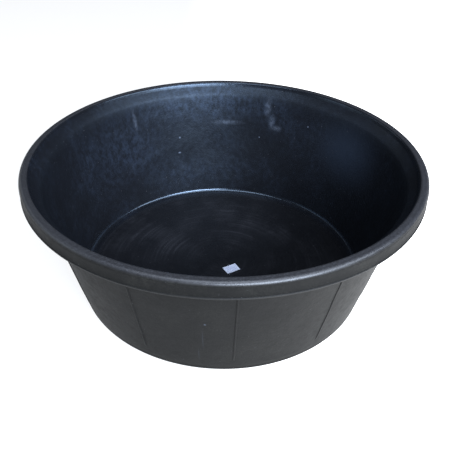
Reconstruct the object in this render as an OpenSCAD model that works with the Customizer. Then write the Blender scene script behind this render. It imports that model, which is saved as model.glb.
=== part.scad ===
// Round mixing tub: a wide, shallow, one-piece rubber moulding with a down-turned lip.
// Each named region of the moulding is a solid of its own, and neighbours meet face to face.
// The frame's origin is the centre of the base, on the surface that the tub stands on, +Z up.

/* [Tub] */
// Outer diameter of the rim, at the bead along the lip's lower edge
rim_d = 660; // [600:5:760]
// Height from the ground to the top of the rim
tub_h = 240; // [200:5:320]
// Outer diameter of the wall, carried down to the ground
base_d = 512; // [440:4:540]
// Thickness of the side wall, square to its surface
wall_t = 5; // [4:0.5:7]

/* [Base] */
// Thickness of the floor
floor_t = 5.5; // [5:0.5:9]
// Height of the recess under the floor, inside the ring that the tub stands on
recess_h = 3; // [2:0.5:6]
// Width of the ring that the tub stands on, from the recess to the outer corner
foot_w = 10; // [8:1:16]
// Radius of the outer corner between the base and the wall
heel_r = 6.6; // [4:0.2:9]
// Radius of the inner corner between the floor and the wall
cove_r = 8; // [5:1:20]

/* [Rim] */
// How far the lip's outer face stands out from the line of the wall
rim_overhang = 20.4; // [18:0.2:26]
// Thickness of the down-turned lip
lip_t = 4.5; // [3.5:0.5:5.5]
// Height of the lip, from its lower edge to the top of the rim
lip_drop = 27; // [24:1:32]
// Radius of the rim's inside corner, between the crown and the lip
under_r = 4; // [2:0.5:5]
// Radius of the rim's outer top corner
shoulder_r = 7; // [5:0.5:8]
// Width of the rim's top, from the round inner edge to the lip's outer face
crown_w = 13; // [12:0.5:15]
// Radius of the rim's round inner edge
edge_r = 3; // [2:0.5:3.5]
// Height of the steep face under the round inner edge
edge_face = 6; // [3:0.5:8]
// Steepness of that face, in degrees
edge_steep = 66; // [55:1:75]
// Steepness of the flared mouth under that face, in degrees
flare_steep = 50; // [44:1:60]
// Radius of the bend from the straight wall to the flared mouth
flare_r = 15; // [10:1:30]
// How far the bead along the lip's lower edge stands proud of the lip
bead_proud = 0.8; // [0.4:0.1:1.2]

/* [Ribs] */
// Number of upright ribs round the outside of the wall
rib_n = 12; // [6:1:18]
// Direction of the first rib, in degrees from +X
rib_phase = -87; // [-180:1:180]
// Width of a rib at the top of the wall
rib_w = 3.8; // [2:0.2:6]
// How far a rib stands out from the wall
rib_proud = 1.2; // [0.6:0.2:2]
// Height of the lower end of the ribs above the ground
rib_z = 29; // [24:1:60]

/* [Price label] */
// Length of the paper label stuck to the floor
label_l = 27; // [20:1:50]
// Width of the label
label_w = 19.5; // [14:0.5:30]
// Thickness of the label
label_t = 0.3; // [0.2:0.1:0.5]
// Where the label's centre lies, along X
label_x = 18; // [-60:1:60]
// Where the label's centre lies, along Y
label_y = -22; // [-60:1:60]
// Direction of the label's long edge, in degrees from +X
label_turn = 29; // [-90:1:90]

/* [Hidden] */
$fn = 96;

RUBBER = [0.11, 0.11, 0.12];
RUBBER_RIB = [0.15, 0.15, 0.16];
PAPER = [0.93, 0.93, 0.95];

rim_r = rim_d / 2;
base_r = base_d / 2;

// The wall's outer face is a cone: its radius at the ground is base_r, and at the top
// of the tub it is short of the rim by the overhang.
wall_slope = (rim_r - rim_overhang - base_r) / tub_h;
draft = atan(wall_slope);
wall_in_r = base_r - wall_t / cos(draft);
function outer_r(z) = base_r + wall_slope * z;
function inner_r(z) = wall_in_r + wall_slope * z;

// Base: the floor's two faces, and the centres of the inner and outer corner rounds
floor_z = recess_h + floor_t;
cove_z = floor_z + cove_r;
cove_c = [inner_r(cove_z) - cove_r / cos(draft), cove_z];
heel_c = [outer_r(heel_r) - heel_r / cos(draft), heel_r];
foot_in_r = heel_c[0] - foot_w;
recess_r = foot_in_r - recess_h;

// The flat floor ends 1 mm inside the corner's rounds, and the corner 2 mm above them
panel_r = min(recess_r, cove_c[0]) - 1;
corner_top_z = cove_z - cove_r * sin(draft) + 2;

// Rim: the round inner edge, the steep face under it, then the flare down to the straight wall.
// The flare is a cone. Its inner line would meet the wall's at height meet_z, but for the bend.
edge_c = [rim_r - crown_w, tub_h - edge_r];
face_top = edge_c + edge_r * [-sin(edge_steep), cos(edge_steep)];
flare_top = face_top - edge_face * [1 / tan(edge_steep), 1];
flare_k = 1 / tan(flare_steep);
meet_z = (flare_k * flare_top[1] - flare_top[0] + wall_in_r) / (flare_k - wall_slope);
flare_z = meet_z - flare_r * tan((90 - draft - flare_steep) / 2) * cos(draft);
flare_c = [inner_r(flare_z) + flare_r * cos(draft), flare_z - flare_r * sin(draft)];

// Lip: its two faces, the joint with the crown, and the bead along the lower edge
lip_out_r = rim_r - bead_proud;
lip_in_r = lip_out_r - lip_t;
joint_z = tub_h - wall_t;
lip_z = tub_h - lip_drop;
bead_r = lip_t / 2;
shoulder_c = [lip_out_r - shoulder_r, tub_h - shoulder_r];
joint_a = max(asin((joint_z - shoulder_c[1]) / shoulder_r), 0);
under_c = [lip_in_r - under_r, joint_z - under_r];

// The flare's outer face, wall_t below its inner one, up to where the flare meets the crown
under_bend_r = flare_r - wall_t;
under_bend_end = flare_c + under_bend_r * [-sin(flare_steep), cos(flare_steep)];
flare_end_z = under_bend_end[1] + (edge_c[0] - under_bend_end[0]) / flare_k;

// Points along an arc of radius r round c, from angle a0 to angle a1, in n steps
function arc(c, r, a0, a1, n = 8) =
    [for (i = [0:n]) let (a = a0 + (a1 - a0) * i / n) c + r * [cos(a), sin(a)]];

// Floor: a flat disc, raised off the ground by the recess
module floor_panel() {
    color(RUBBER)
    translate([0, 0, recess_h])
    cylinder(r = panel_r, h = floor_t);
}

// Rounded corner from the floor to the wall, with the ring that the tub stands on
module base_corner() {
    color(RUBBER)
    rotate_extrude()
    polygon(concat(
        [[panel_r, floor_z], [panel_r, recess_h], [recess_r, recess_h], [foot_in_r, 0]],
        arc(heel_c, heel_r, -90, -draft),
        [[outer_r(corner_top_z), corner_top_z], [inner_r(corner_top_z), corner_top_z]],
        arc(cove_c, cove_r, -draft, -90)
    ));
}

// Straight, tapered side wall
module side_wall() {
    color(RUBBER)
    rotate_extrude()
    polygon([
        [inner_r(corner_top_z), corner_top_z],
        [outer_r(corner_top_z), corner_top_z],
        [outer_r(flare_z), flare_z],
        [inner_r(flare_z), flare_z]
    ]);
}

// One rib, from rib_z to the top of the straight wall, with a sloped lower end
module rib() {
    rib_angle = 2 * asin(rib_w / 2 / outer_r(flare_z));
    rotate(-rib_angle / 2)
    rotate_extrude(angle = rib_angle)
    polygon([
        [outer_r(rib_z), rib_z],
        [outer_r(rib_z + 3 * rib_proud) + rib_proud, rib_z + 3 * rib_proud],
        [outer_r(flare_z) + rib_proud, flare_z],
        [outer_r(flare_z), flare_z]
    ]);
}

// Thin upright ribs, evenly spaced round the outside of the wall
module wall_ribs() {
    color(RUBBER_RIB)
    for (i = [0:rib_n - 1])
        rotate(rib_phase + 360 * i / rib_n)
        rib();
}

// Flared mouth, from the top of the straight wall to the steep face and the round inner edge
module rim_flare() {
    color(RUBBER)
    rotate_extrude()
    polygon(concat(
        [[outer_r(flare_z), flare_z], [inner_r(flare_z), flare_z]],
        arc(flare_c, flare_r, 180 - draft, 90 + flare_steep),
        [flare_top],
        arc(edge_c, edge_r, 90 + edge_steep, 90),
        [[edge_c[0], flare_end_z]],
        arc(flare_c, under_bend_r, 90 + flare_steep, 180 - draft)
    ));
}

// Top of the rim, from the round inner edge over the shoulder to the joint with the lip
module rim_crown() {
    color(RUBBER)
    rotate_extrude()
    polygon(concat(
        [[under_c[0], joint_z], [edge_c[0], flare_end_z], [edge_c[0], tub_h]],
        arc(shoulder_c, shoulder_r, 90, joint_a)
    ));
}

// Down-turned lip, with a bead along its lower edge and an open channel behind it
module rim_lip() {
    color(RUBBER)
    rotate_extrude()
    polygon(concat(
        arc(under_c, under_r, 0, 90, 6),
        arc(shoulder_c, shoulder_r, joint_a, 0, 3),
        [[lip_out_r, lip_z + 2 * bead_r + bead_proud]],
        arc([rim_r - bead_r, lip_z + bead_r], bead_r, 60, -90, 10),
        arc([lip_in_r + bead_r, lip_z + bead_r], bead_r, -90, -180)
    ));
}

// Paper price label, stuck flat on the floor
module price_label() {
    color(PAPER)
    translate([label_x, label_y, floor_z])
    rotate(label_turn)
    linear_extrude(label_t)
    square([label_l, label_w], center = true);
}

floor_panel();
base_corner();
side_wall();
wall_ribs();
rim_flare();
rim_crown();
rim_lip();
price_label();
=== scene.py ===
"""The looks of a round rubber mixing tub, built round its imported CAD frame. Everything is in metres."""
import math

import bpy
import numpy as np
from mathutils import Matrix, Vector


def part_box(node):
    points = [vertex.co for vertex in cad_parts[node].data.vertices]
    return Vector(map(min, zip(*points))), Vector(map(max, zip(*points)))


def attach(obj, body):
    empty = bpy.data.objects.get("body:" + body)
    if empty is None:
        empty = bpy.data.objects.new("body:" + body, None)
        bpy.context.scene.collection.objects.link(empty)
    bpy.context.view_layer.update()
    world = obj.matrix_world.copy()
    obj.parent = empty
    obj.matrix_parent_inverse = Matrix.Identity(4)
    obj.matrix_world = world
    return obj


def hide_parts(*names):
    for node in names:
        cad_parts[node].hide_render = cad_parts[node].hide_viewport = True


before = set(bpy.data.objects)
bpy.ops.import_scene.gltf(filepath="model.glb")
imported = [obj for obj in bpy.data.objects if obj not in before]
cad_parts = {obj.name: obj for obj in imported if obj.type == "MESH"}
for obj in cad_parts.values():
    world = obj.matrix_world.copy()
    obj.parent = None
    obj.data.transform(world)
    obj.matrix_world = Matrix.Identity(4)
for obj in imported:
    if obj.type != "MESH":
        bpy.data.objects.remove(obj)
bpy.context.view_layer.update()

# ---------------------------------------------------------------------------------------------
# Sizes of the tub's section. They are the CAD's, except that the rim's inner edge is a little
# rounder and its steep face shorter here, and BELL_SOFT softens the bend from wall to flare
# ---------------------------------------------------------------------------------------------
MM = 0.001
WALL_T = 5.0 * MM
HEEL_R = 6.6 * MM
COVE_R = 8.0 * MM
FOOT_W = 10.0 * MM
EDGE_R = 5.5 * MM
CROWN_W = 11.5 * MM
SHOULDER_R = 7.0 * MM
LIP_T = 4.5 * MM
UNDER_R = 4.0 * MM
BEAD_PROUD = 0.8 * MM
EDGE_FACE = 4.5 * MM
EDGE_STEEP = math.radians(66)
FLARE_STEEP = math.radians(50)
FLARE_R = 15.0 * MM
BELL_SOFT = 0.8 * MM

# Heights and radii that come from the frame's nodes
RIM_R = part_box("rim_lip")[1].x
TUB_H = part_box("rim_crown")[1].z
LIP_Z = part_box("rim_lip")[0].z
JOINT_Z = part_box("rim_lip")[1].z
FLARE_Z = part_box("rim_flare")[0].z
CORNER_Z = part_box("base_corner")[1].z
FLOOR_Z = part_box("floor_panel")[1].z
UNDER_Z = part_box("floor_panel")[0].z
PANEL_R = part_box("floor_panel")[1].x
WALL_TOP_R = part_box("side_wall")[1].x
WALL_SLOPE = (WALL_TOP_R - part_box("base_corner")[1].x) / (FLARE_Z - CORNER_Z)
DRAFT = math.atan(WALL_SLOPE)

# Ribs on the outside of the wall
RIB_N = 12
RIB_PHASE = math.radians(-87)
RIB_W = 3.8 * MM
RIB_PROUD = 1.2 * MM
RIB_RUN_OUT = 6 * RIB_PROUD
RIB_SUNK = 0.05 * MM
RIB_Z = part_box("wall_ribs")[0].z

# Paper label: its size, thickness and direction, and how much of its free corner lifts, and how far
LABEL_L = 27.0 * MM
LABEL_W = 19.5 * MM
LABEL_PAPER = 0.15 * MM
LABEL_GAP = 0.02 * MM
LABEL_LIFT = 0.15 * MM
LABEL_CURL_FROM, LABEL_CURL_OVER = 0.55, 0.45
LABEL_TURN = math.radians(29)

# The mesh: steps round the tub, the usual step along its section, and when two points are one
AROUND = 360
STEP = 2.0 * MM
SAME_PLACE = 0.01 * MM
QUARTER = math.pi / 2


def outer_r(z):
    return WALL_TOP_R + WALL_SLOPE * (z - FLARE_Z)


def inner_r(z):
    return outer_r(z) - WALL_T / math.cos(DRAFT)


# ---------------------------------------------------------------------------------------------
# The tub's section: one closed line round the moulding, from the middle of the floor out and up
# the inside, over the rim, down the outside and back under the floor
# ---------------------------------------------------------------------------------------------
def arc(centre, radius, start, end, steps):
    turn = np.linspace(start, end, steps + 1)
    return np.stack([centre[0] + radius * np.cos(turn), centre[1] + radius * np.sin(turn)], 1)


def line(start, end, step=STEP):
    count = max(1, round(math.dist(start, end) / step))
    t = np.linspace(0, 1, count + 1)[:, None]
    return np.array(start) * (1 - t) + np.array(end) * t


def bell(low, high, cone_end):
    """The inner wall and the flare between two heights, with a soft bend from one to the other."""
    z = line((0, low), (0, high))[:, 1]
    wall = inner_r(z)
    cone = cone_end[0] - (cone_end[1] - z) / math.tan(FLARE_STEEP)
    return np.stack([(wall + cone) / 2 + np.hypot((cone - wall) / 2, BELL_SOFT), z], 1)


def stretches():
    """The named stretches of the section, in order, each a run of points (r, z)."""
    cove = (inner_r(FLOOR_Z + COVE_R) - COVE_R / math.cos(DRAFT), FLOOR_Z + COVE_R)
    heel = (outer_r(HEEL_R) - HEEL_R / math.cos(DRAFT), HEEL_R)
    foot_in = heel[0] - FOOT_W
    recess = foot_in - UNDER_Z
    edge = (RIM_R - CROWN_W, TUB_H - EDGE_R)
    face_top = (edge[0] - EDGE_R * math.sin(EDGE_STEEP), edge[1] + EDGE_R * math.cos(EDGE_STEEP))
    flare_top = (face_top[0] - EDGE_FACE / math.tan(EDGE_STEEP), face_top[1] - EDGE_FACE)
    bend = (inner_r(FLARE_Z) + FLARE_R * math.cos(DRAFT), FLARE_Z - FLARE_R * math.sin(DRAFT))
    lip_out = RIM_R - BEAD_PROUD
    lip_in = lip_out - LIP_T
    bead = LIP_T / 2
    shoulder = (lip_out - SHOULDER_R, TUB_H - SHOULDER_R)
    joint_turn = math.asin((JOINT_Z - shoulder[1]) / SHOULDER_R)
    under = (lip_in - UNDER_R, JOINT_Z - UNDER_R)
    under_bend = FLARE_R - WALL_T
    under_end = (bend[0] - under_bend * math.sin(FLARE_STEEP), bend[1] + under_bend * math.cos(FLARE_STEEP))
    under_start = (edge[0], under_end[1] + (edge[0] - under_end[0]) * math.tan(FLARE_STEEP))
    return [
        ("floor_top", line((0, FLOOR_Z), (PANEL_R, FLOOR_Z))),
        ("cove", np.vstack([
            line((PANEL_R, FLOOR_Z), (cove[0], FLOOR_Z)),
            arc(cove, COVE_R, -QUARTER, -DRAFT, steps=20),
            line((inner_r(CORNER_Z - STEP), CORNER_Z - STEP), (inner_r(CORNER_Z), CORNER_Z))])),
        ("inner_wall", bell(CORNER_Z, FLARE_Z, flare_top)),
        ("flare", np.vstack([
            bell(FLARE_Z, flare_top[1], flare_top),
            line(flare_top, face_top, STEP / 2),
            arc(edge, EDGE_R, QUARTER + EDGE_STEEP, QUARTER, steps=8)])),
        ("crown", np.vstack([
            line((edge[0], TUB_H), (shoulder[0], TUB_H), STEP / 2),
            arc(shoulder, SHOULDER_R, QUARTER, joint_turn, steps=14)])),
        ("lip", np.vstack([
            arc(shoulder, SHOULDER_R, joint_turn, 0, steps=4),
            line((lip_out, shoulder[1]), (lip_out, LIP_Z + 2 * bead + BEAD_PROUD)),
            arc((RIM_R - bead, LIP_Z + bead), bead, QUARTER * 2 / 3, -QUARTER, steps=12),
            arc((lip_in + bead, LIP_Z + bead), bead, -QUARTER, -2 * QUARTER, steps=6),
            line((lip_in, LIP_Z + bead), (lip_in, under[1])),
            arc(under, UNDER_R, 0, QUARTER, steps=6)])),
        ("crown_under", line((under[0], JOINT_Z), under_start, STEP / 2)),
        ("flare_under", np.vstack([
            line(under_start, under_end),
            arc(bend, under_bend, QUARTER + FLARE_STEEP, 2 * QUARTER - DRAFT, steps=8)])),
        ("outer_wall", line((outer_r(FLARE_Z), FLARE_Z), (outer_r(CORNER_Z), CORNER_Z), 1.5 * STEP)),
        ("foot", np.vstack([
            line((outer_r(CORNER_Z), CORNER_Z), (outer_r(HEEL_R), HEEL_R + STEP)),
            arc(heel, HEEL_R, -DRAFT, -QUARTER, steps=10),
            line((heel[0], 0), (foot_in, 0)),
            line((foot_in, 0), (recess, UNDER_Z)),
            line((recess, UNDER_Z), (PANEL_R, UNDER_Z))])),
        ("floor_under", line((PANEL_R, UNDER_Z), (0, UNDER_Z), 1.5 * STEP)),
    ]


def section():
    """Points (r, z) along the section, and the number of the first point of each named stretch."""
    points, first = [], {}
    for name, stretch in stretches():
        keep = [stretch[0]]
        for p in stretch[1:]:
            if np.linalg.norm(p - keep[-1]) > SAME_PLACE:
                keep.append(p)
        first[name] = len(points)
        points += keep[:-1]
    points.append(keep[-1])
    first["end"] = len(points) - 1
    return np.array(points), first


SECTION, FIRST = section()


# ---------------------------------------------------------------------------------------------
# The moulding's surface: the section swept round, with the slight unevenness of moulded rubber
# ---------------------------------------------------------------------------------------------
RING_R = [0.187, 0.168, 0.138, 0.061]
RING_W = 2.5 * MM
RING_DEPTH = 0.25 * MM
CROWN_DIP = 0.2 * MM
CROWN_DIP_W = 3.0 * MM
RIM_SAG = 0.5 * MM
WALL_WAVE = 0.35 * MM
# Waves in the wall: how many round the tub, where they start, how far they lean in radians, share
WAVES = [(3, 0.7, 0, 1.0), (7, 0, 14, 0.6), (17, 0, -9, 0.4)]


def bump_at(value, centre, half_width):
    """A smooth bump: 1 at the centre, 0 from half_width away on."""
    t = np.clip(np.abs(value - centre) / half_width, 0, 1)
    return (1 - t * t) ** 2


def surface(first, last, turn):
    """Points [section point, turn] of the moulding between two section points, both included."""
    r = SECTION[first:last + 1, 0][:, None] * np.ones_like(turn)
    z = SECTION[first:last + 1, 1][:, None] * np.ones_like(turn)
    number = np.arange(first, last + 1)[:, None]

    # The wall waves in and out, most at half height
    high = np.clip((z - CORNER_Z) / (FLARE_Z - CORNER_Z), 0, 1)
    wave = sum(share * np.sin(count * turn + start + lean * high) for count, start, lean, share in WAVES)
    wall = bump_at(z, (CORNER_Z + FLARE_Z) / 2, (FLARE_Z - CORNER_Z) / 2)
    r = r - WALL_WAVE * wall * wave * np.where(r > PANEL_R, 1, 0)

    # Shallow rings in the floor's upper face
    inside = number < FIRST["crown"]
    for ring in RING_R:
        z = z - RING_DEPTH * bump_at(r, ring, RING_W) * (inside & (z < FLOOR_Z + MM))

    # A shallow dip round the crown, and a rim that isn't quite level
    crown = (number >= FIRST["crown"]) & (number < FIRST["lip"])
    z = z - CROWN_DIP * bump_at(r, RIM_R - CROWN_W + CROWN_DIP_W, CROWN_DIP_W) * crown
    sag = 0.5 + 0.25 * np.sin(2 * turn + 1.1) + 0.25 * np.sin(5 * turn)
    z = z - RIM_SAG * sag * np.clip((z - FLARE_Z) / (TUB_H - FLARE_Z), 0, 1)
    return np.stack([r * np.cos(turn), r * np.sin(turn), z], -1)


def normals(grid):
    """Unit normals of a grid [section point, turn, xyz] that closes on itself round the turn."""
    along = np.gradient(grid, axis=0)
    around = np.roll(grid, -1, 1) - np.roll(grid, 1, 1)
    normal = np.cross(along, around)
    normal = normal / np.maximum(np.linalg.norm(normal, axis=-1, keepdims=True), 1e-12)
    normal[0], normal[-1] = normal[1], normal[-2]
    return normal


TURNS = np.linspace(0, 2 * math.pi, AROUND, endpoint=False)
SURFACE = surface(0, FIRST["end"], TURNS)
NORMALS = normals(SURFACE)


# ---------------------------------------------------------------------------------------------
# Colours, gloss and marks
# ---------------------------------------------------------------------------------------------
# The inside's near-black colour has a bluish tint that is painted sky light
INNER_SKY_TINTED_COLOUR = (0.0058, 0.0062, 0.0078, 1)
# The inner wall's dust colour is bluish because it also paints the sky's sheen on the wall
DUST_AND_SHEEN_COLOUR = (0.032, 0.045, 0.072, 1)
FLOOR_DUST_COLOUR = (0.036, 0.037, 0.044, 1)
OUTER_COLOUR = (0.0045, 0.0045, 0.0043, 1)
SCUFF_COLOUR = (0.062, 0.060, 0.051, 1)
RIM_COLOUR = (0.020, 0.020, 0.022, 1)
RIM_WORN_COLOUR = (0.052, 0.053, 0.060, 1)
CHALK_COLOUR = (0.16, 0.19, 0.25, 1)
SPECK_COLOUR = (0.10, 0.10, 0.11, 1)
INNER_SHEEN = (0.6, 0.78, 1.0, 1)
OUTER_SHEEN = (0.97, 0.98, 1.0, 1)
PAPER_COLOUR = (0.52, 0.56, 0.69, 1)
PAPER_SHADE = (0.43, 0.47, 0.60, 1)
INK_COLOUR = (0.22, 0.28, 0.60, 1)

# How much of each layer covers what is under it, from 0 to 1
# Cover of the inside's dust, which also carries painted sheen
INNER_DUST_AND_SHEEN = 0.75
SMEAR_COVER = 0.4
CHALK_COVER = 0.6
SCUFF_COVER = 0.4
OUTER_SPECK_COVER = 0.35
CREASE_COVER = 0.07
RIM_WEAR = 0.45
SPECK_COVER = 0.35
INK_COVER = 0.55
PATCH_COVER = 0.25
# Shares of mottle and streaks in the inner wall's dust and painted sheen
DUST_AND_SHEEN_MOTTLED, DUST_AND_SHEEN_STREAKED = 0.75, 0.25
SCUFF_BLOTCHED, SCUFF_EVEN = 0.5, 0.25
FLOOR_EVEN_DUST = 0.3

# Patches of noise: features to the metre, detail, roughness, and the values that the step runs over
# The next two shape the inner wall's dust and its painted sheen
DUST_AND_SHEEN_MOTTLE = (95, 6, 0.78, 0.38, 0.68)
DUST_AND_SHEEN_STREAKS = (130, 3, 0.6, 0.4, 0.75)
DUST_PATCHES = (11, 5, 0.65, 0.4, 0.68)
FLOOR_RINGS = (1, 4, 0.7, 0.45, 0.75)
FLOOR_PATCHES = (9, 4, 0.6, 0.4, 0.72)
BLOTCHES = (14, 5, 0.65, 0.38, 0.72)
MOTTLE = (90, 5, 0.7, 0.4, 0.75)
WEAR = (420, 3, 0.7, 0.42, 0.7)
SPECKS = (330, 1, 0.4, 0.76, 0.8)

# Plain noise: features to the metre, detail, roughness. FRAY_STEP makes frayed smears from FRAY
FRAY = (160, 3, 0.6)
FRAY_STEP = (0.35, 0.65, 0.3, 1.0)
UNEVEN = (40, 3, 0.5)
FIBRES = (900, 3, 0.6)

# Bumps in the rubber, each on top of the one before: noise, and its height
BUMPS = [
    ((1400, 2, 0.5), 0.02 * MM),
    ((240, 3, 0.6), 0.09 * MM),
    ((60, 3, 0.6), 0.40 * MM),
]
FIBRE_HEIGHT = 0.03 * MM

# Roughness and shine of each zone. POLISH is the share of roughness left on the smooth zones,
# and the rim's edge is smooth from POLISH_FROM under its top, and fully so from POLISH_FULL
ROUGH_INSIDE, ROUGH_OUTSIDE, ROUGH_AT_BEND, ROUGH_PAPER = 0.3, 0.55, 0.14, 0.6
ROUGH_MOTTLED, ROUGH_UNEVEN = 0.12, 0.08
POLISH, POLISH_FROM, POLISH_FULL = 0.6, 7 * MM, 3 * MM
SHINE_INSIDE, SHINE_OUTSIDE = 0.32, 0.15
SHINE_EDGE, SHINE_COVE, SHINE_BEAD = 0.5, 0.9, 0.35

# Radius at which the wall is unrolled to place marks, and how far the flare leaves the wall's line
MARK_R = 0.28
FLARE_OUT = 8.5 * MM

# Dust on the inner wall, partly painted sheen: the thick patch high at the back and the patch at 30 degrees
# are painted highlight. Direction in degrees from +X, height, half width and height, thickness
DUST_AND_SHEEN_SPOTS = [
    (97, 0.212, 0.170, 0.062, 1.1),
    (134, 0.140, 0.140, 0.110, 0.35),
    (96, 0.060, 0.170, 0.045, 0.35),
    (66, 0.190, 0.080, 0.070, 0.3),
    (30, 0.160, 0.110, 0.080, 0.4),
    (140, 0.150, 0.200, 0.090, 0.2),
]
# A painted highlight: a smooth pale haze on the right of the inner wall, given in the same way
PAINTED_HIGHLIGHT_SPOT = (29, 0.160, 0.115, 0.085, 0.45)
# Soft smears and small specks: direction in degrees from +X, height, and half width and height
SMEARS = [
    (70.2, 0.198, 10 * MM, 30 * MM),
    (68.0, 0.170, 9 * MM, 22 * MM),
    (65.6, 0.158, 16 * MM, 8 * MM),
    (127.0, 0.188, 6 * MM, 30 * MM),
    (87.0, 0.161, 46 * MM, 7 * MM),
]
INNER_SPECKS = [
    (52.0, 0.177, 2.2 * MM, 2.2 * MM),
    (72.7, 0.134, 2.0 * MM, 2.0 * MM),
    (108.8, 0.102, 4.5 * MM, 2.5 * MM),
    (108.1, 0.134, 3.0 * MM, 3.0 * MM),
]
OUTER_SPECKS = [(-95.7, 0.124, 2.6 * MM, 2.6 * MM)]
CREASES = [(-96.6, 0.085, 1.2 * MM, 40 * MM), (-98.2, 0.045, 1.2 * MM, 22 * MM)]

# Rings of dust on the floor: how many noise features to the metre across them and along them, and
# from where to where the dust thickens towards the back, and by how much
SWIRL_ACROSS = 190.0
SWIRL_ALONG = 5.0
DUST_TO_BACK = (-0.08, 0.16, 0.35, 1.0)

# Plain bars that stand for the label's print, as start and end on the label's face
LABEL_BAR_W = 2.4 * MM
LABEL_BARS = [
    ((-9 * MM, 5 * MM), (4 * MM, 5 * MM)),
    ((-9 * MM, 0), (8 * MM, 0)),
    ((-2 * MM, -5 * MM), (8 * MM, -5 * MM)),
]


# ---------------------------------------------------------------------------------------------
# Materials
# ---------------------------------------------------------------------------------------------
class Shader:
    """A material's node tree, built one node at a time."""

    def __init__(self, name):
        self.material = bpy.data.materials.new(name)
        self.material.use_nodes = True
        self.tree = self.material.node_tree
        self.surface = self.tree.nodes["Principled BSDF"]
        self.place = self.add("ShaderNodeTexCoord").outputs["Object"]

    def add(self, kind, inputs=(), **settings):
        node = self.tree.nodes.new(kind)
        for key, value in settings.items():
            setattr(node, key, value)
        for key, value in dict(inputs).items():
            self.feed(node.inputs[key], value)
        return node

    def feed(self, socket, value):
        if isinstance(value, bpy.types.NodeSocket):
            self.tree.links.new(value, socket)
        else:
            socket.default_value = value

    def give(self, name, value):
        """Sets an input of the surface shader."""
        self.feed(self.surface.inputs[name], value)

    def math(self, operation, *values, clamp=False):
        inputs = dict(enumerate(values))
        return self.add("ShaderNodeMath", inputs, operation=operation, use_clamp=clamp).outputs[0]

    def plus(self, a, b):
        return self.math("ADD", a, b)

    def minus(self, a, b):
        return self.math("SUBTRACT", a, b)

    def times(self, a, b):
        return self.math("MULTIPLY", a, b)

    def most(self, a, b):
        return self.math("MAXIMUM", a, b)

    def length(self, a, b):
        return self.math("SQRT", self.plus(self.times(a, a), self.times(b, b)))

    def axes(self):
        """The place's x, y and z."""
        return self.add("ShaderNodeSeparateXYZ", {0: self.place}).outputs

    def vector(self, x, y, z):
        return self.add("ShaderNodeCombineXYZ", {"X": x, "Y": y, "Z": z}).outputs[0]

    def stretched(self, x, y, z):
        """The place, scaled along each axis."""
        inputs = {0: self.place, 1: (x, y, z)}
        return self.add("ShaderNodeVectorMath", inputs, operation="MULTIPLY").outputs[0]

    def noise(self, scale, detail=3.0, roughness=0.55, place=None):
        """Noise from 0 to 1 with about `scale` features to the metre."""
        inputs = {"Vector": place or self.place, "Scale": scale, "Detail": detail, "Roughness": roughness}
        return self.add("ShaderNodeTexNoise", inputs).outputs["Fac"]

    def ramp(self, value, low, high, out_low=0.0, out_high=1.0, **settings):
        """A straight, clamped ramp of value, from out_low at low to out_high at high."""
        inputs = {"Value": value, "From Min": low, "From Max": high, "To Min": out_low, "To Max": out_high}
        return self.add("ShaderNodeMapRange", inputs, **settings).outputs[0]

    def step(self, value, low, high, out_low=0.0, out_high=1.0):
        """A smooth step of value, from out_low at low to out_high at high."""
        return self.ramp(value, low, high, out_low, out_high, interpolation_type="SMOOTHSTEP")

    def patches(self, scale, detail, roughness, low, high, place=None):
        """Patches of noise: 0 where the noise is under low and 1 where it is over high."""
        return self.step(self.noise(scale, detail, roughness, place), low, high)

    def spot(self, along, up, place, size):
        """1 at a place on a flat or unrolled face, falling to 0 at the given size from it."""
        a = self.math("DIVIDE", self.minus(along, place[0]), size[0])
        b = self.math("DIVIDE", self.minus(up, place[1]), size[1])
        return self.step(self.length(a, b), 0.0, 1.0, 1.0, 0.0)

    def stroke(self, along, up, start, end, width):
        """1 along a straight line on a flat or unrolled face, falling to 0 at its sides."""
        run = (end[0] - start[0], end[1] - start[1])
        a, b = self.minus(along, start[0]), self.minus(up, start[1])
        on_run = self.plus(self.times(a, run[0]), self.times(b, run[1]))
        share = self.math("DIVIDE", on_run, run[0] ** 2 + run[1] ** 2, clamp=True)
        a = self.minus(a, self.times(share, run[0]))
        b = self.minus(b, self.times(share, run[1]))
        return self.step(self.length(a, b), 0.0, width / 2, 1.0, 0.0)

    def blend(self, factor, a, b):
        """Value a where factor is 0 and b where it is 1."""
        return self.add("ShaderNodeMix", {"Factor": factor, "A": a, "B": b}).outputs[0]

    def mix(self, factor, a, b):
        """Colour a where factor is 0 and b where it is 1."""
        node = self.add("ShaderNodeMix", {"Factor": factor}, data_type="RGBA")
        colours = [s for s in node.inputs if s.type == "RGBA"]
        for socket, colour in zip(colours, (a, b)):
            self.feed(socket, colour)
        return next(s for s in node.outputs if s.type == "RGBA")

    def bump(self, height, distance, normal=None):
        inputs = {"Height": height, "Distance": distance}
        if normal is not None:
            inputs["Normal"] = normal
        return self.add("ShaderNodeBump", inputs).outputs["Normal"]


def tub_place(s):
    """Where a point is on the tub: radius, distance round the unrolled wall, height, and 1 if outside."""
    x, y, z = s.axes()
    radius = s.length(x, y)
    along = s.times(s.math("ARCTAN2", y, x), MARK_R)
    flared = s.ramp(z, FLARE_Z, TUB_H - EDGE_FACE, 0.0, FLARE_OUT)
    middle = s.plus(s.times(z, WALL_SLOPE), outer_r(0) - WALL_T / 2)
    beyond = s.minus(radius, s.plus(middle, flared))
    return radius, along, z, s.step(beyond, -WALL_T / 4, WALL_T / 4)


def wall_spot(s, along, z, turn, height, wide, tall):
    """1 at a place on the wall, given as a direction in degrees and a height, falling to 0 round it."""
    return s.spot(along, z, (math.radians(turn) * MARK_R, height), (wide, tall))


def marks(s, along, z, places):
    """1 at each of the given places on the wall."""
    found = None
    for place in places:
        mark = wall_spot(s, along, z, *place)
        found = mark if found is None else s.most(found, mark)
    return found


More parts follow.
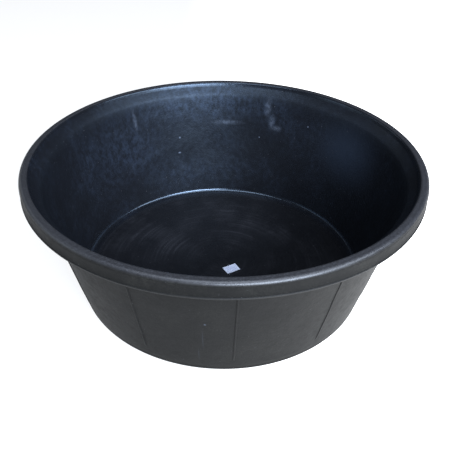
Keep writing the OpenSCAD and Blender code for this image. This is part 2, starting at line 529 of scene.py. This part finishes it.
def wall_dust_and_sheen(s, along, z):
    """Dust on the inside of the wall, partly painted sheen: mottled, thickest high up at the back where it
    is a painted highlight, with upright streaks, and a hazy painted highlight on the right.
    """
    mottle = s.patches(*DUST_AND_SHEEN_MOTTLE, s.stretched(1, 1, 0.8))
    streaks = s.patches(*DUST_AND_SHEEN_STREAKS, s.stretched(1, 1, 0.1))
    grain = s.plus(s.times(mottle, DUST_AND_SHEEN_MOTTLED), s.times(streaks, DUST_AND_SHEEN_STREAKED))
    cover = s.times(s.patches(*DUST_PATCHES), PATCH_COVER)
    # Thicker spots of dust; the high one at the back and the one at 30 degrees are painted highlight
    for *place, thick in DUST_AND_SHEEN_SPOTS:
        cover = s.plus(cover, s.times(wall_spot(s, along, z, *place), thick))
    # A painted highlight: a smooth pale haze on the right of the inner wall
    *place, thick = PAINTED_HIGHLIGHT_SPOT
    painted_highlight = s.times(wall_spot(s, along, z, *place), thick)
    return s.math("MAXIMUM", s.times(grain, cover), painted_highlight, clamp=True)


def floor_dust(s, radius):
    """Dust on the tub's floor, rubbed into rings round its middle, and thicker at the back."""
    x, y, _ = s.axes()
    swirl = s.vector(s.times(radius, SWIRL_ACROSS), s.times(x, SWIRL_ALONG), s.times(y, SWIRL_ALONG))
    rings = s.patches(*FLOOR_RINGS, swirl)
    patches = s.patches(*FLOOR_PATCHES)
    back = s.step(y, *DUST_TO_BACK)
    return s.times(s.plus(rings, FLOOR_EVEN_DUST), s.times(patches, back))


def inner_colour(s, radius, along, z, on_floor):
    """The inside: near-black with a painted bluish sky tint, dusty with painted sheen, with pale smears and
    specks on the wall.
    """
    # Dust on the wall with painted sheen in it, and dust on the floor
    dust_and_sheen = s.blend(on_floor, wall_dust_and_sheen(s, along, z), floor_dust(s, radius))
    powder_and_sheen = s.mix(on_floor, DUST_AND_SHEEN_COLOUR, FLOOR_DUST_COLOUR)
    inner = s.mix(s.times(dust_and_sheen, INNER_DUST_AND_SHEEN), INNER_SKY_TINTED_COLOUR, powder_and_sheen)
    fray = s.step(s.noise(*FRAY), *FRAY_STEP)
    smears = s.times(marks(s, along, z, SMEARS), fray)
    chalk = s.most(s.times(smears, SMEAR_COVER), marks(s, along, z, INNER_SPECKS))
    return s.mix(s.times(chalk, CHALK_COVER), inner, CHALK_COLOUR)


def outer_colour(s, along, z, mottle, worn):
    """The outside: warm black with grey scuffs, a speck and two creases, and a paler, worn rim."""
    blotches = s.patches(*BLOTCHES)
    fine = s.plus(s.times(mottle, 0.5), s.times(worn, 0.5))
    scuffs = s.times(s.plus(s.times(blotches, SCUFF_BLOTCHED), SCUFF_EVEN), fine)
    outer = s.mix(s.times(scuffs, SCUFF_COVER), OUTER_COLOUR, SCUFF_COLOUR)
    outer = s.mix(s.times(marks(s, along, z, OUTER_SPECKS), OUTER_SPECK_COVER), outer, CHALK_COLOUR)
    outer = s.mix(s.times(marks(s, along, z, CREASES), CREASE_COVER), outer, CHALK_COLOUR)
    rim = s.mix(s.times(worn, RIM_WEAR), RIM_COLOUR, RIM_WORN_COLOUR)
    on_rim = s.step(z, TUB_H - WALL_T, TUB_H - WALL_T / 4)
    return s.mix(on_rim, outer, rim)


def rubber_gloss(s, radius, z, outside, on_floor, mottle):
    """Satin inside and duller outside, with polish on the rim's edge, in the cove and on the bead."""
    on_edge = s.step(z, TUB_H - POLISH_FROM, TUB_H - POLISH_FULL)
    low_down = s.step(z, FLOOR_Z + 1.5 * COVE_R, FLOOR_Z + COVE_R / 2)
    past_floor = s.step(radius, PANEL_R - FOOT_W, PANEL_R)
    in_cove = s.times(s.times(low_down, past_floor), s.minus(1.0, outside))
    on_bead = s.times(s.step(radius, RIM_R - BEAD_PROUD, RIM_R), s.step(z, JOINT_Z, LIP_Z + LIP_T))
    smooth = s.most(on_edge, s.most(in_cove, on_bead))

    rough = s.plus(s.times(mottle, ROUGH_MOTTLED), s.times(s.noise(*UNEVEN), ROUGH_UNEVEN))
    rough = s.plus(rough, s.step(outside, 0.0, 1.0, ROUGH_INSIDE, ROUGH_OUTSIDE))
    rough = s.blend(smooth, rough, s.times(rough, POLISH))
    off_bend = s.math("ABSOLUTE", s.minus(z, FLARE_Z + WALL_T / 2))
    rough = s.plus(rough, s.step(off_bend, 0.0, FLARE_R, ROUGH_AT_BEND, 0.0))
    s.give("Roughness", rough)

    shine = s.most(s.times(on_edge, SHINE_EDGE), s.times(in_cove, SHINE_COVE))
    shine = s.most(shine, s.times(on_bead, SHINE_BEAD))
    s.give("Specular IOR Level", s.most(s.blend(outside, SHINE_INSIDE, SHINE_OUTSIDE), shine))
    s.give("Specular Tint", s.mix(s.most(outside, on_floor), INNER_SHEEN, OUTER_SHEEN))


def rubber_bumps(s):
    """Fine grain, small pits and a slow swell."""
    normal = None
    for noise, height in BUMPS:
        normal = s.bump(s.noise(*noise), height, normal)
    s.give("Normal", normal)


def rubber():
    """Black moulded rubber: dusty inside, with a painted bluish sky tint and painted sheen, and a warmer
    grey and scuffed outside.
    """
    s = Shader("black_rubber")
    radius, along, z, outside = tub_place(s)
    on_floor = s.step(radius, PANEL_R + FOOT_W, PANEL_R)
    mottle = s.patches(*MOTTLE)
    worn = s.patches(*WEAR)
    specks = s.patches(*SPECKS)
    inner = inner_colour(s, radius, along, z, on_floor)
    outer = outer_colour(s, along, z, mottle, worn)
    colour = s.mix(outside, inner, outer)
    s.give("Base Color", s.mix(s.times(specks, SPECK_COVER), colour, SPECK_COLOUR))
    rubber_gloss(s, radius, z, outside, on_floor, mottle)
    rubber_bumps(s)
    return s.material


def paper():
    """White label paper with faint bluish bars that stand for print."""
    s = Shader("label_paper")
    middle = sum(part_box("price_label"), Vector()) / 2
    x, y, _ = s.axes()
    x, y = s.minus(x, middle.x), s.minus(y, middle.y)
    cos, sin = math.cos(LABEL_TURN), math.sin(LABEL_TURN)
    across = s.plus(s.times(x, cos), s.times(y, sin))
    up = s.minus(s.times(y, cos), s.times(x, sin))
    fibres = s.noise(*FIBRES)
    colour = s.mix(s.step(fibres, 0.3, 0.7, 0.0, 0.25), PAPER_COLOUR, PAPER_SHADE)
    ink = None
    for start, end in LABEL_BARS:
        bar = s.stroke(across, up, start, end, LABEL_BAR_W)
        ink = bar if ink is None else s.most(ink, bar)
    s.give("Base Color", s.mix(s.times(ink, INK_COVER), colour, INK_COLOUR))
    s.give("Roughness", ROUGH_PAPER)
    s.give("Normal", s.bump(fibres, FIBRE_HEIGHT))
    return s.material


# ---------------------------------------------------------------------------------------------
# The pieces
# ---------------------------------------------------------------------------------------------
def new_object(name, corners, faces, material):
    """An object with one material, linked to the scene."""
    mesh = bpy.data.meshes.new(name)
    mesh.from_pydata(np.array(corners).tolist(), [], faces)
    mesh.update()
    mesh.materials.append(material)
    made = bpy.data.objects.new(name, mesh)
    bpy.context.scene.collection.objects.link(made)
    return made


def on_axis(points):
    return np.all(np.hypot(points[:, 0], points[:, 1]) < SAME_PLACE)


def flat_normal(face_corners):
    normal = np.cross(face_corners[1] - face_corners[0], face_corners[-1] - face_corners[0])
    return normal / max(np.linalg.norm(normal), 1e-12)


def ring_piece(name, node, stretch_names, material):
    """A closed piece of the moulding: the named stretches of the section, joined by flat faces."""
    rows, row_normals, joins = [], [], []
    names = list(FIRST)
    for stretch in stretch_names:
        first, last = FIRST[stretch], FIRST[names[names.index(stretch) + 1]]
        rows += list(SURFACE[first:last + 1])
        row_normals += list(NORMALS[first:last + 1])
        joins.append(len(rows) - 1)

    # A row on the tub's axis is one corner, and any other row is a ring of corners
    start, corners = [], []
    for row in rows:
        start.append((len(corners), on_axis(row)))
        corners += [row[0]] if on_axis(row) else list(row)
    corners = np.array(corners)

    faces, loop_normals = [], []
    for i in range(len(rows)):
        k = (i + 1) % len(rows)
        (a, a_point), (b, b_point) = start[i], start[k]
        if a_point and b_point:
            continue
        for j in range(AROUND):
            n = (j + 1) % AROUND
            if a_point:
                face, picks = [a, b + j, b + n], [(i, j), (k, j), (k, n)]
            elif b_point:
                face, picks = [a + j, b, a + n], [(i, j), (k, j), (i, n)]
            else:
                face, picks = [a + j, b + j, b + n, a + n], [(i, j), (k, j), (k, n), (i, n)]
            faces.append(face)
            if i in joins:
                loop_normals += [flat_normal(corners[face])] * len(face)
            else:
                loop_normals += [row_normals[s][t] for s, t in picks]

    piece = new_object(name, corners, faces, material)
    piece.data.polygons.foreach_set("use_smooth", [True] * len(faces))
    piece.data.normals_split_custom_set(np.array(loop_normals).tolist())
    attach(piece, "root")
    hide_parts(node)


def rib(number, across=8, up=40):
    """Corners [column, height] of one rib: its rounded face, then its back, sunk into the wall."""
    first, last = FIRST["outer_wall"], FIRST["foot"] + 1
    wall_z = SECTION[first:last + 1, 1][::-1]
    heights = np.linspace(RIB_Z, FLARE_Z, up + 1)
    share = np.linspace(-1, 1, across + 1)
    half_turn = math.asin(RIB_W / 2 / outer_r(FLARE_Z))
    turn = RIB_PHASE + 2 * math.pi * number / RIB_N + half_turn * share
    wall = surface(first, last, turn)[::-1]
    base = np.stack([[np.interp(heights, wall_z, wall[:, j, k]) for j in range(across + 1)]
                     for k in range(3)], -1)
    run_out = np.clip((heights - RIB_Z) / RIB_RUN_OUT, 0, 1) ** 0.5
    proud = RIB_PROUD * np.sqrt(np.maximum(1 - share ** 2, 0))[:, None] * run_out
    outward = np.stack([np.cos(turn), np.sin(turn), np.zeros_like(turn)], 1)[:, None, :]
    face = base + proud[..., None] * outward
    back = base - RIB_SUNK * outward
    return np.concatenate([face, back[::-1]])


def wall_ribs(material):
    """Rounded upright ribs on the outside of the wall, which run out at their lower ends."""
    corners, faces = [], []
    for number in range(RIB_N):
        columns = rib(number)
        count, tall = columns.shape[:2]
        at = len(corners)
        corners += list(columns.reshape(-1, 3))
        for i in range(count):
            a, b = at + i * tall, at + (i + 1) % count * tall
            faces += [[a + j, b + j, b + j + 1, a + j + 1] for j in range(tall - 1)]
        faces.append([at + i * tall for i in reversed(range(count))])
        faces.append([at + i * tall + tall - 1 for i in range(count)])
    piece = new_object("wall_ribs_rounded", corners, faces, material)
    piece.data.polygons.foreach_set("use_smooth", [True] * len(faces))
    piece.data.set_sharp_from_angle(angle=math.radians(50))
    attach(piece, "root")
    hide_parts("wall_ribs")


def label(material, cells=12):
    """A thin paper label, stuck down but for one corner that just lifts off the floor."""
    low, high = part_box("price_label")
    middle = (low + high) / 2
    cos, sin = math.cos(LABEL_TURN), math.sin(LABEL_TURN)
    share = np.linspace(-0.5, 0.5, cells + 1)
    across, up = np.meshgrid(share * LABEL_L, share * LABEL_W, indexing="ij")
    corner = share[:, None] + share[None, :] - LABEL_CURL_FROM
    lift = np.clip(corner / LABEL_CURL_OVER, 0, 1) ** 2 * LABEL_LIFT
    x, y = middle.x + across * cos - up * sin, middle.y + across * sin + up * cos
    top = np.stack([x, y, FLOOR_Z + LABEL_PAPER + lift], -1).reshape(-1, 3)
    under = np.stack([x, y, FLOOR_Z + LABEL_GAP + lift], -1).reshape(-1, 3)

    row, count = cells + 1, len(top)
    faces = []
    for i in range(cells):
        for j in range(cells):
            a, b, c, d = i * row + j, (i + 1) * row + j, (i + 1) * row + j + 1, i * row + j + 1
            faces += [[a, b, c, d], [count + d, count + c, count + b, count + a]]
    edge = [i * row for i in range(row)] + [cells * row + j for j in range(1, row)]
    edge += [i * row + cells for i in reversed(range(cells))] + list(reversed(range(1, cells)))
    for a, b in zip(edge, edge[1:] + edge[:1]):
        faces.append([b, a, count + a, count + b])

    piece = new_object("paper_label", np.vstack([top, under]), faces, material)
    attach(piece, "root")
    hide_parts("price_label")


RUBBER = rubber()
ring_piece("tub_floor", "floor_panel", ["floor_top", "floor_under"], RUBBER)
ring_piece("tub_corner", "base_corner", ["cove", "foot"], RUBBER)
ring_piece("tub_wall", "side_wall", ["inner_wall", "outer_wall"], RUBBER)
ring_piece("tub_flare", "rim_flare", ["flare", "flare_under"], RUBBER)
ring_piece("tub_crown", "rim_crown", ["crown", "crown_under"], RUBBER)
ring_piece("tub_lip", "rim_lip", ["lip"], RUBBER)
wall_ribs(RUBBER)
label(paper())


# ---------------------------------------------------------------------------------------------
# Floor, light and camera
# ---------------------------------------------------------------------------------------------
STAGE_HALF = 6.0
STAGE_DARK = (0.24, 0.24, 0.24, 1)
STAGE_PALE = (0.27, 0.27, 0.27, 1)
STAGE_ROUGH, STAGE_SHINE = 0.9, 0.1
LIGHT_AIM = Vector((0, 0, 0.15))
WORLD_COLOUR = (0.75, 0.85, 1.0, 1)
WORLD_STRENGTH = 0.02

# The floor's glow along X: its strength at the left and right, what share of that is left far to
# the right, and where it rises and falls
GLOW_LEFT, GLOW_RIGHT, GLOW_SHARE_FAR = 0.82, 2.4, 0.55
GLOW_RISE = (-0.15, 0.40)
GLOW_FALL = (0.42, 0.75)

# The camera's target is given in rim radii from the tub's centre, and its distance in rim radii
CAMERA_DOWN = math.radians(35.31)
CAMERA_TARGET = Vector((-0.057, 0, 0.280))
CAMERA_DISTANCE = 3.116
CAMERA_LENS = 45.4
CAMERA_SENSOR = 36
CAMERA_SHIFT = 0.0296


def stage():
    """A plain pale floor that glows a little, most just to the right of the tub."""
    s = Shader("pale_floor")
    s.give("Base Color", s.mix(s.noise(3), STAGE_DARK, STAGE_PALE))
    s.give("Roughness", STAGE_ROUGH)
    s.give("Specular IOR Level", STAGE_SHINE)
    s.give("Emission Color", (1, 1, 1, 1))
    x, _, _ = s.axes()
    rise = s.step(x, *GLOW_RISE, GLOW_LEFT, GLOW_RIGHT)
    fall = s.step(x, *GLOW_FALL, 1.0, GLOW_SHARE_FAR)
    s.give("Emission Strength", s.times(rise, fall))
    h = STAGE_HALF
    corners = [(-h, -h, 0), (h, -h, 0), (h, h, 0), (-h, h, 0)]
    floor = new_object("stage_floor", corners, [(0, 1, 2, 3)], s.material)


def softbox(name, turn, rise, distance, size, power, colour):
    """An area light at a turn from -Y towards +X and a rise above the floor, in degrees."""
    a, e = math.radians(turn), math.radians(rise)
    back = Vector((math.sin(a) * math.cos(e), -math.cos(a) * math.cos(e), math.sin(e)))
    data = bpy.data.lights.new(name, "AREA")
    data.shape = "RECTANGLE"
    data.size, data.size_y = size
    data.energy = power
    data.color = colour
    light = bpy.data.objects.new(name, data)
    light.location = LIGHT_AIM + back * distance
    light.rotation_euler = (-back).to_track_quat("-Z", "Y").to_euler()
    bpy.context.scene.collection.objects.link(light)


def lights():
    """One strong soft light at the front right, weak ones round it, and a dim world."""
    softbox("key", turn=24, rise=30, distance=3.0, size=(2.2, 1.3), power=250, colour=(0.74, 0.84, 1.0))
    softbox("top", turn=0, rise=72, distance=2.6, size=(2.4, 1.2), power=48, colour=(0.80, 0.88, 1.0))
    softbox("right", turn=68, rise=38, distance=3.0, size=(1.6, 1.2), power=45, colour=(0.80, 0.88, 1.0))
    softbox("left", turn=-85, rise=22, distance=3.0, size=(1.5, 1.0), power=8, colour=(0.80, 0.90, 1.0))
    softbox("left_back", turn=-125, rise=24, distance=3.0, size=(1.6, 1.0), power=4,
            colour=(0.85, 0.92, 1.0))
    world = bpy.data.worlds.new("studio")
    world.use_nodes = True
    world.node_tree.nodes["Background"].inputs["Color"].default_value = WORLD_COLOUR
    world.node_tree.nodes["Background"].inputs["Strength"].default_value = WORLD_STRENGTH
    bpy.context.scene.world = world
    bpy.context.scene.view_settings.view_transform = "Standard"


def camera():
    """The camera looks along +Y and down."""
    forward = Vector((0, math.cos(CAMERA_DOWN), -math.sin(CAMERA_DOWN)))
    place = CAMERA_TARGET * RIM_R - CAMERA_DISTANCE * RIM_R * forward
    data = bpy.data.cameras.new("camera")
    data.lens = CAMERA_LENS
    data.sensor_width = CAMERA_SENSOR
    data.shift_x = CAMERA_SHIFT
    view = bpy.data.objects.new("camera", data)
    view.matrix_world = Matrix.Translation(place) @ Matrix.Rotation(math.pi / 2 - CAMERA_DOWN, 4, "X")
    bpy.context.scene.collection.objects.link(view)
    bpy.context.scene.camera = view


stage()
lights()
camera()
